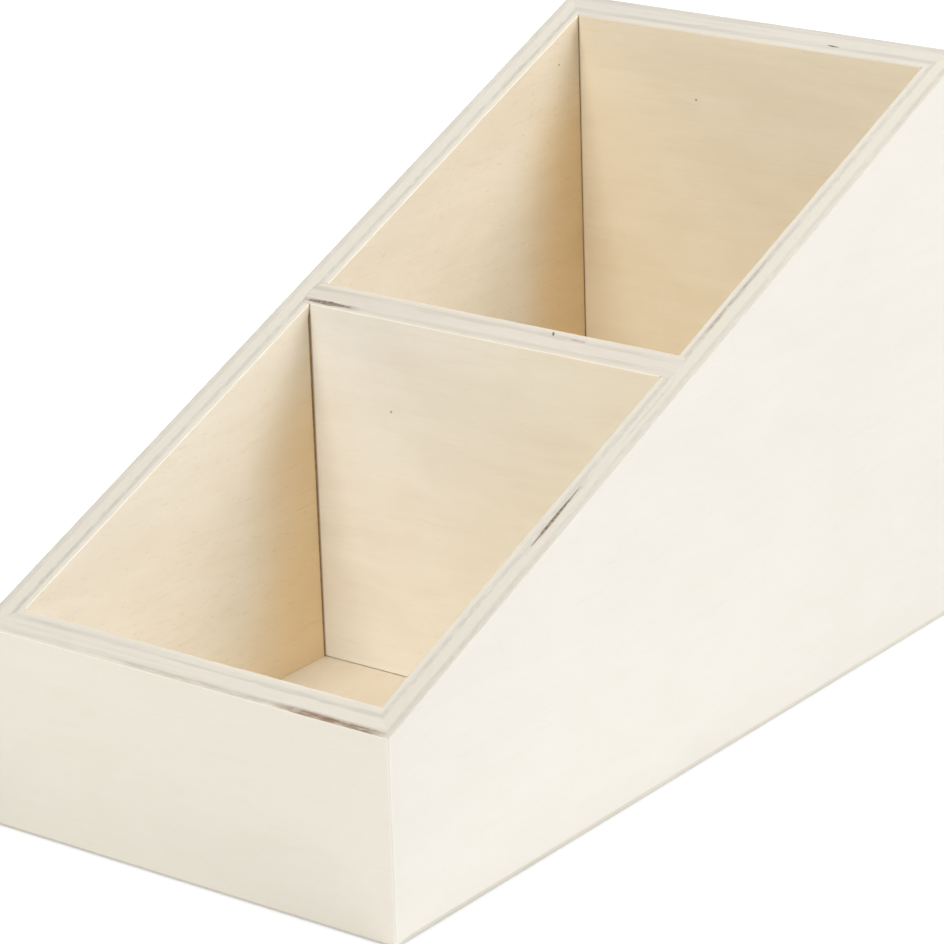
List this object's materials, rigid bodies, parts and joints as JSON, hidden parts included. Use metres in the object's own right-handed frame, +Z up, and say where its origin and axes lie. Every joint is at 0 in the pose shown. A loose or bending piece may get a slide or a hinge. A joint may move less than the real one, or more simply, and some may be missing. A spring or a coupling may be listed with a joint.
{
  "type": "display box",
  "caption": "Open-topped plywood display box whose rim slopes from a low front to a tall back, with a fixed divider between a front and a rear compartment for cards or packets.",
  "frame": {"origin": "middle of the footprint, on the surface that the box stands on", "axes": "+Z up, -Y out of the low front, +X to the right of someone who looks at the front"},
  "size_m": [0.126, 0.25, 0.1553],
  "materials": {
    "plywood_front": "bare, fine sanded, matt",
    "plywood_back": "bare, fine sanded, matt",
    "plywood_left": "bare, fine sanded, matt",
    "plywood_right": "bare, fine sanded, matt",
    "plywood_divider": "bare, fine sanded, matt",
    "plywood_bottom": "bare, fine sanded, matt"
  },
  "bodies": {
    "root": {"front_panel": "plywood_front", "back_panel": "plywood_back", "left_side_panel": "plywood_left", "right_side_panel": "plywood_right", "divider_panel": "plywood_divider", "bottom_panel": "plywood_bottom"}
  },
  "joints": []
}
